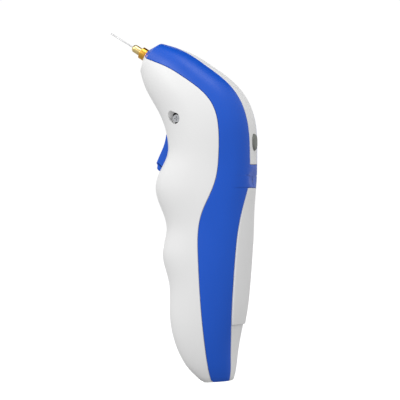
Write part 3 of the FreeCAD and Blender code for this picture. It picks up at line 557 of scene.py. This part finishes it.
def trim_sheet():
    """The left blue inlay, with its half of the tab and of the cap over the nose."""
    inside = IN_CHANNEL - CHANNEL
    depth = np.maximum(rolled(inside), rolled(SEAM, SEAM_ROUND))
    points = positions(np.zeros_like(depth)) / MM
    cut = SCOOP_RADIUS - np.hypot(points[:, :, 0] - SCOOP_FLOOR - SCOOP_RADIUS,
                                  points[:, :, 2] - SCOOP_Z)
    depth = np.where(points[:, :, 0] > 0, np.maximum(depth, cut), depth)
    return sheet(inside > -0.001, depth, np.full_like(depth, TRIM))


def door_sheet():
    """The left half of the battery door, its foot standing proud of the case."""
    inside = IN_DOOR - 0.02
    lift = DOOR_PROUD * np.clip((DOWN - L_TAB_LOW) / (L_DOOR - L_TAB_LOW), 0, 1)
    depth = rolled(inside, 0.45) - lift
    return sheet(inside > -0.001, depth, np.full_like(depth, DOOR_WALL))


def rounded_loop(tall, wide, z, count=20):
    """An upright, round-ended outline as (Y, Z) points."""
    radius = wide / 2
    loop = []
    for end in (1, -1):
        for k in range(count + 1):
            angle = math.pi * k / count + (0 if end > 0 else math.pi)
            loop.append((radius * math.cos(angle),
                         z + end * (tall / 2 - radius) + radius * math.sin(angle)))
    return loop


def skinned(rings):
    """A closed solid through rings of equally many points, capped at both ends."""
    size, last = len(rings[0]), (len(rings) - 1) * len(rings[0])
    faces = []
    for start in range(0, last, size):
        for j in range(size):
            a, b = start + j, start + (j + 1) % size
            faces.append((a, b, b + size, a + size))
    faces.append(tuple(range(size)))
    faces.append(tuple(range(last + size - 1, last - 1, -1)))
    return tidy([point for ring in rings for point in ring], faces)


def stacked(loop, layers):
    """A closed solid along X through copies of a (Y, Z) loop: each layer is (X, inset)."""
    loop = np.array(loop)
    centre = (loop.min(axis=0) + loop.max(axis=0)) / 2
    half = (loop.max(axis=0) - loop.min(axis=0)) / 2
    rings = []
    for x, inset in layers:
        shrunk = centre + (loop - centre) * (1 - inset / half)
        rings.append([(x * MM, y * MM, z * MM) for y, z in shrunk])
    return skinned(rings)


def rod_between(start, end, radius, segments=64):
    """A closed cylinder between two points."""
    start, end = Vector(start), Vector(end)
    axis = (end - start).normalized()
    side = axis.orthogonal().normalized()
    other = axis.cross(side)
    vertices, faces = [], []
    for point in (start, end):
        for k in range(segments):
            angle = 2 * math.pi * k / segments
            spot = point + (side * math.cos(angle) + other * math.sin(angle)) * radius
            vertices.append(tuple(spot * MM))
    for k in range(segments):
        n = (k + 1) % segments
        faces.append((k, n, n + segments, k + segments))
    faces.append(tuple(range(segments))[::-1])
    faces.append(tuple(range(segments, 2 * segments)))
    return tidy(vertices, faces)


def cut_out(piece, shape):
    """Takes a closed shape out of a piece."""
    mesh = bpy.data.meshes.new("cutter")
    mesh.from_pydata(shape[0], [], shape[1])
    cutter = bpy.data.objects.new("cutter", mesh)
    bpy.context.scene.collection.objects.link(cutter)
    modifier = piece.modifiers.new("cut", "BOOLEAN")
    modifier.operation, modifier.solver, modifier.object = "DIFFERENCE", "EXACT", cutter
    bpy.context.view_layer.update()
    result = bpy.data.meshes.new_from_object(
        piece.evaluated_get(bpy.context.evaluated_depsgraph_get()))
    piece.modifiers.clear()
    old = piece.data
    piece.data = result
    bpy.data.meshes.remove(old)
    bpy.data.objects.remove(cutter)
    bpy.data.meshes.remove(mesh)
    result.set_sharp_from_angle(angle=SHARP)


BUTTON_HOLE = stacked(
    rounded_loop(BUTTON_TALL + 2 * BUTTON_GAP, BUTTON_WIDE + 2 * BUTTON_GAP, BUTTON_Z),
    [(18.0, 0.0), (30.0, 0.0)])
RECESS = rod_between((RECESS_X, -25.0, RECESS_Z), (RECESS_X, HEAD_SEAT, RECESS_Z), RECESS_RADIUS)


def relief(turn):
    """A cylinder of the driver's lead-in: turn 0 is square to the case, 1 the full slant."""
    slant = Vector((-0.62 * turn, -1.0 + 0.3 * turn, 0.35 * turn)).normalized()
    start = Vector((RECESS_X, HEAD_SEAT - 0.6, RECESS_Z))
    return rod_between(start, start + slant * 12, RECESS_RADIUS - 0.35 * turn)


for side, word in ((-1, "left"), (1, "right")):
    shell = case_piece(f"case_{word}", side, *shell_sheet(), "handle", "case_plastic",
                       f"shell_{word}")
    cut_out(shell, BUTTON_HOLE)
    if side < 0:
        cut_out(shell, RECESS)
        for turn in RELIEF_TURNS:
            cut_out(shell, relief(turn))
    case_piece(f"inlay_{word}", side, *trim_sheet(), "handle", "trim_plastic", f"trim_{word}")

left = door_sheet()
right = mirrored(*left)
door_points = np.concatenate([left[0], right[0]])
door_faces = left[1] + [tuple(k + len(left[0]) for k in face) for face in right[1]]
case_piece("rear_door", -1, door_points, door_faces, "battery_door", "case_plastic", "battery_door")


# ---------------------------------------------------------------- trigger and button

PIVOT = np.array([-14.5, 50.8])
TRIGGER_HALF, TRIGGER_HUB, TRIGGER_REACH, TRIGGER_ROUND = 5.5, 4.6, 18.4, 0.9
PIN_BORE = 1.06
SPRING_Z, SPRING_POCKET = 36.8, 2.9     # the pocket in the trigger's back for its spring


def arc(centre, radius, first, last, count):
    angles = np.radians(np.linspace(first, last, count))
    return centre + radius * np.stack([np.cos(angles), np.sin(angles)], axis=1)


def trigger_outline():
    """The trigger's side view as a dense loop of (X, Z): face, lip, lobe, foot, back and hub."""
    face = curve([(-19.1, 51.0), (-20.4, 46.8), (-22.3, 42.6), (-24.2, 38.3)], 40)
    lobe = curve([(-24.2, 38.3), (-23.6, 37.2), (-23.8, 35.9), (-22.6, 34.25)], 24)[1:]
    toe, heel = (math.degrees(math.atan2(-math.sqrt(TRIGGER_REACH ** 2 - d * d), d))
                 for d in (-8.1, -2.0))
    foot = arc(PIVOT, TRIGGER_REACH, toe, heel, 20)[1:]
    back = [(-15.2, 37.0), (-14.6, 39.0), (-13.5, 40.5), (-12.55, 41.8), (-12.55, 45.6)]
    hub = arc(PIVOT, TRIGGER_HUB, -58, 174, 48)
    return np.concatenate([face, lobe, foot, back, hub])


def trigger_mesh():
    """The outline carried across the trigger, drawn in towards its sides so its edges are round."""
    loop = trigger_outline()
    ahead = np.roll(loop, -1, axis=0) - np.roll(loop, 1, axis=0)
    ahead /= np.linalg.norm(ahead, axis=1)[:, None]
    inward = np.stack([-ahead[:, 1], ahead[:, 0]], axis=1)
    near = np.array([0.0, 0.03, 0.12, 0.27, 0.47, 0.7, TRIGGER_ROUND])
    across = np.concatenate([near - TRIGGER_HALF, np.linspace(-4, 4, 15),
                             TRIGGER_HALF - near[::-1]])
    rings = []
    face_share = np.clip((-18.0 - loop[:, 0]) / 2, 0, 1)
    for y in across:
        drop = rolled(TRIGGER_HALF - abs(y), TRIGGER_ROUND)
        crown = 0.3 * (y / TRIGGER_HALF) ** 2 * face_share
        ring = loop + inward * (drop * 0.8 + crown)[:, None]
        rings.append([(x * MM, y * MM, z * MM) for x, z in ring])
    return skinned(rings)


blade = add_piece("trigger_blade", trigger_mesh(), "trigger", "trim_plastic", "trigger")
cut_out(blade, rod_between((PIVOT[0], -8.0, PIVOT[1]), (PIVOT[0], 8.0, PIVOT[1]), PIN_BORE))
cut_out(blade, rod_between((-16.6, 0.0, SPRING_Z), (-11.0, 0.0, SPRING_Z), SPRING_POCKET))

BUTTON_LAYERS = [(21.6, -0.9), (22.6, -0.9), (22.6, 0.0), (25.7, 0.0), (25.98, 0.05), (26.2, 0.17),
                 (26.36, 0.36), (26.45, 0.6), (26.5, 0.9), (26.54, 1.4), (26.57, 2.0), (26.6, 2.9)]
add_piece("mode_key", stacked(rounded_loop(BUTTON_TALL, BUTTON_WIDE, BUTTON_Z), BUTTON_LAYERS),
          "mode_button", "button_plastic", "mode_button")

# ---------------------------------------------------------------- nozzle


def rounded_profile(corners, radii, steps=5):
    """A profile with each corner rounded by its own radius."""
    points = [Vector(c) for c in corners]
    result = []
    for k, (point, radius) in enumerate(zip(points, radii)):
        before = points[k - 1] - point
        after = points[(k + 1) % len(points)] - point
        if radius <= 0:
            result.append(tuple(point))
            continue
        start, end = point + before.normalized() * radius, point + after.normalized() * radius
        for i in range(steps + 1):
            t = i / steps
            result.append(tuple(start * (1 - t) ** 2 + point * 2 * t * (1 - t) + end * t * t))
    return result


NUT = rounded_profile(
    [(1.75, -5.03), (2.65, -5.03), (3.1, -4.75), (3.1, -2.1), (2.94, -1.95), (2.94, -1.75),
     (3.1, -1.6), (3.1, -1.25), (2.3, -1.25), (2.3, -4.5), (1.75, -4.5)],
    [0.05, 0.12, 0.12, 0.05, 0.05, 0.05, 0.05, 0.12, 0, 0, 0])
HUB = rounded_profile(
    [(0.3, -10.1), (1.25, -10.1), (2.0, -9.2), (2.0, -5.9), (1.88, -5.8), (1.88, -5.65),
     (2.0, -5.55), (2.0, -5.08), (1.5, -5.08), (1.5, 2.5), (0.22, 2.5)],
    [0, 0.3, 0.5, 0.04, 0.04, 0.04, 0.04, 0.08, 0, 0, 0])
NEEDLE = [(0.17, -24.06), (0.24, -24.06), (0.3, -23.9), (0.3, -10.1), (0.22, 2.5), (0.17, 2.5)]
add_piece("nut_ring", lathe(NUT), "collet_nut", "brass", "collet_nut")
add_piece("hub_body", lathe(HUB), "needle", "hub_brass", "needle_hub")
add_piece("needle_tube", lathe(NEEDLE, 32), "needle", "needle_steel", "needle")

dress_cad_nodes()

# ---------------------------------------------------------------- studio and camera

VIEW_TURN = math.radians(18.0)
FIELD = 0.1987              # width of the view at the handle, metres
LENS, SENSOR = 200.0, 36.0
CENTRE_RIGHT, CENTRE_UP = -0.0025, 0.020
SKY_LOW, SKY_HIGH = 0.45, 1.0


def add_camera():
    right = Vector((math.cos(VIEW_TURN), math.sin(VIEW_TURN), 0))
    look = Vector((-math.sin(VIEW_TURN), math.cos(VIEW_TURN), 0))
    data = bpy.data.cameras.new("camera")
    data.lens, data.sensor_width = LENS, SENSOR
    data.clip_end = 20
    camera = bpy.data.objects.new("camera", data)
    target = right * CENTRE_RIGHT + Vector((0, 0, CENTRE_UP))
    camera.location = target - look * (FIELD * LENS / SENSOR)
    camera.rotation_euler = look.to_track_quat("-Z", "Y").to_euler()
    bpy.context.scene.collection.objects.link(camera)
    bpy.context.scene.camera = camera


def add_area(name, place, size, power, colour=(1, 1, 1)):
    data = bpy.data.lights.new(name, "AREA")
    data.shape, data.size, data.energy, data.color = "DISK", size, power, colour
    lamp = bpy.data.objects.new(name, data)
    lamp.location = place
    lamp.rotation_euler = (Vector((0, 0, 0.02)) - Vector(place)).to_track_quat("-Z", "Y").to_euler()
    bpy.context.scene.collection.objects.link(lamp)


def add_floor():
    """A pale floor below the held handle. It fills every view and lends the handle no light."""
    mesh = bpy.data.meshes.new("floor")
    reach, level = 12.0, -0.25
    corners = [(-reach, -reach, level), (reach, -reach, level), (reach, reach, level),
               (-reach, reach, level)]
    mesh.from_pydata(corners, [], [(0, 1, 2, 3)])
    material, _, bsdf = shader("pale_floor", (0.9, 0.9, 0.9), 0.8)
    bsdf.inputs["Emission Color"].default_value = (1, 1, 1, 1)
    bsdf.inputs["Emission Strength"].default_value = 0.35
    mesh.materials.append(material)
    floor = bpy.data.objects.new("floor", mesh)
    floor.visible_diffuse = floor.visible_glossy = False
    bpy.context.scene.collection.objects.link(floor)


def add_flag(name, behind, up, reach):
    """A dark card above or below the view, behind the handle, that gives its edges contrast."""
    across = Vector((math.cos(VIEW_TURN), math.sin(VIEW_TURN), 0))
    look = Vector((-math.sin(VIEW_TURN), math.cos(VIEW_TURN), 0))
    centre = look * behind + Vector((0, 0, up))
    tall = centre.normalized().cross(across)
    mesh = bpy.data.meshes.new(name)
    corners = [centre + across * reach * a + tall * reach * 0.6 * b
               for a, b in ((-1, -1), (1, -1), (1, 1), (-1, 1))]
    mesh.from_pydata([tuple(c) for c in corners], [], [(0, 1, 2, 3)])
    material, _, _ = shader(name, (0.02, 0.02, 0.02), 0.9)
    mesh.materials.append(material)
    flag = bpy.data.objects.new(name, mesh)
    flag.visible_camera = False
    bpy.context.scene.collection.objects.link(flag)


def add_world():
    """A soft white studio: brighter overhead than below, and white behind the handle."""
    world = bpy.data.worlds.new("studio")
    world.use_nodes = True
    tree = world.node_tree
    place = tree.nodes.new("ShaderNodeTexCoord")
    parts = tree.nodes.new("ShaderNodeSeparateXYZ")
    tree.links.new(place.outputs["Generated"], parts.inputs["Vector"])
    height = tree.nodes.new("ShaderNodeMapRange")
    for name, value in (("From Min", -0.6), ("From Max", 0.8), ("To Min", SKY_LOW),
                        ("To Max", SKY_HIGH)):
        height.inputs[name].default_value = value
    tree.links.new(parts.outputs["Z"], height.inputs["Value"])
    behind = tree.nodes.new("ShaderNodeVectorMath")
    behind.operation = "DOT_PRODUCT"
    behind.inputs[1].default_value = (-math.sin(VIEW_TURN), math.cos(VIEW_TURN), 0)
    tree.links.new(place.outputs["Generated"], behind.inputs[0])
    patch = tree.nodes.new("ShaderNodeMapRange")
    for name, value in (("From Min", 0.90), ("From Max", 0.97), ("To Min", 0.0), ("To Max", 1.02)):
        patch.inputs[name].default_value = value
    tree.links.new(behind.outputs["Value"], patch.inputs["Value"])
    most = tree.nodes.new("ShaderNodeMath")
    most.operation = "MAXIMUM"
    tree.links.new(height.outputs["Result"], most.inputs[0])
    tree.links.new(patch.outputs["Result"], most.inputs[1])
    tree.links.new(most.outputs["Value"], tree.nodes["Background"].inputs["Strength"])
    tree.nodes["Background"].inputs["Color"].default_value = (1, 1, 1, 1)
    bpy.context.scene.world = world


add_camera()
add_world()
add_floor()
add_area("key", (-0.9, -1.3, 0.9), 0.8, 9.5)
add_area("top", (0.3, -0.5, 1.6), 0.8, 5.0)
add_flag("flag_top", 0.30, 0.55, 0.45)
add_flag("flag_low", 0.30, -0.45, 0.40)

bpy.context.scene.view_settings.view_transform = "Standard"
bpy.context.view_layer.update()
